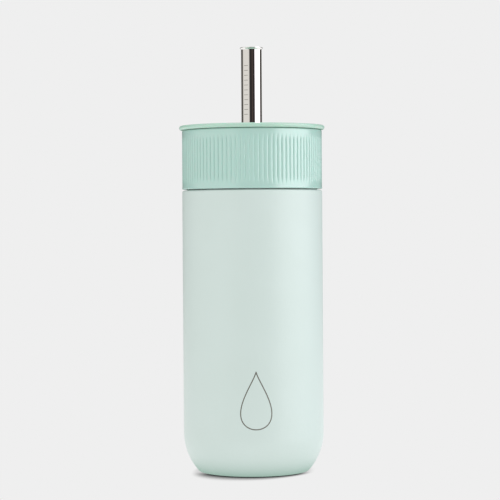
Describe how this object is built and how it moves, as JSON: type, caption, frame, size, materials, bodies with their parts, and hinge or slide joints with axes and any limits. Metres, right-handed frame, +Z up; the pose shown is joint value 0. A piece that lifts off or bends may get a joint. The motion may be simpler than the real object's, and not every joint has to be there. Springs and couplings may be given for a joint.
{
  "type": "insulated tumbler",
  "caption": "Insulated straw tumbler: straight double-wall steel cup with rounded base, ribbed screw collar, push-in lid and steel straw.",
  "frame": {"origin": "on the table, under the centre of the base", "axes": "+Z up along the vessel's axis and the straw; the etched front mark faces -Y; +X is to the right when the front is seen"},
  "size_m": [0.0778, 0.0778, 0.227],
  "materials": {
    "powder_coat": "matte pale mint powder coat with a fine pebble",
    "brushed_steel": "brushed stainless steel",
    "foil": "bright thin foil",
    "seal_glass": "fused glass bead",
    "getter": "pressed grey pellet",
    "foot_rubber": "matte non-slip rubber",
    "collar_plastic": "satin mint plastic, fine upright ribs",
    "lid_plastic": "satin sage plastic",
    "silicone": "soft pale silicone",
    "foam": "closed-cell insulating foam",
    "polished_steel": "mirror-polished stainless steel"
  },
  "bodies": {
    "vessel": {"outer_shell": "powder_coat", "inner_vessel": "brushed_steel", "foil_wrap": "foil", "outer_bottom": "brushed_steel", "vacuum_seal": "seal_glass", "getter_cup": "brushed_steel", "getter_pellet": "getter", "foot_ring": "foot_rubber", "base_cover": "brushed_steel"},
    "seal": {"collar_seal": "silicone"},
    "collar": {"collar": "collar_plastic"},
    "lid": {"lid_cap": "lid_plastic", "lid_floor": "lid_plastic", "lid_foam": "foam", "lid_seal": "silicone", "straw_grommet": "silicone"},
    "straw": {"straw": "polished_steel"}
  },
  "joints": [
    {"name": "collar_rise", "type": "slide", "parent": "vessel", "child": "seal", "axis": [0, 0, 1], "range_m": [0, 0.02]},
    {"name": "collar_turn", "type": "hinge", "parent": "seal", "child": "collar", "pos_m": [0, 0, 0.1669], "axis": [0, 0, 1], "range_deg": [0, 720]},
    {"name": "lid_pull", "type": "slide", "parent": "collar", "child": "lid", "axis": [0, 0, 1], "range_m": [0, 0.025]},
    {"name": "straw_slide", "type": "slide", "parent": "lid", "child": "straw", "axis": [0, 0, 1], "range_m": [0, 0.15]}
  ],
  "couplings": [
    {"joint": "collar_rise", "follows": "collar_turn", "m_per_rad": 0.0015915}
  ]
}
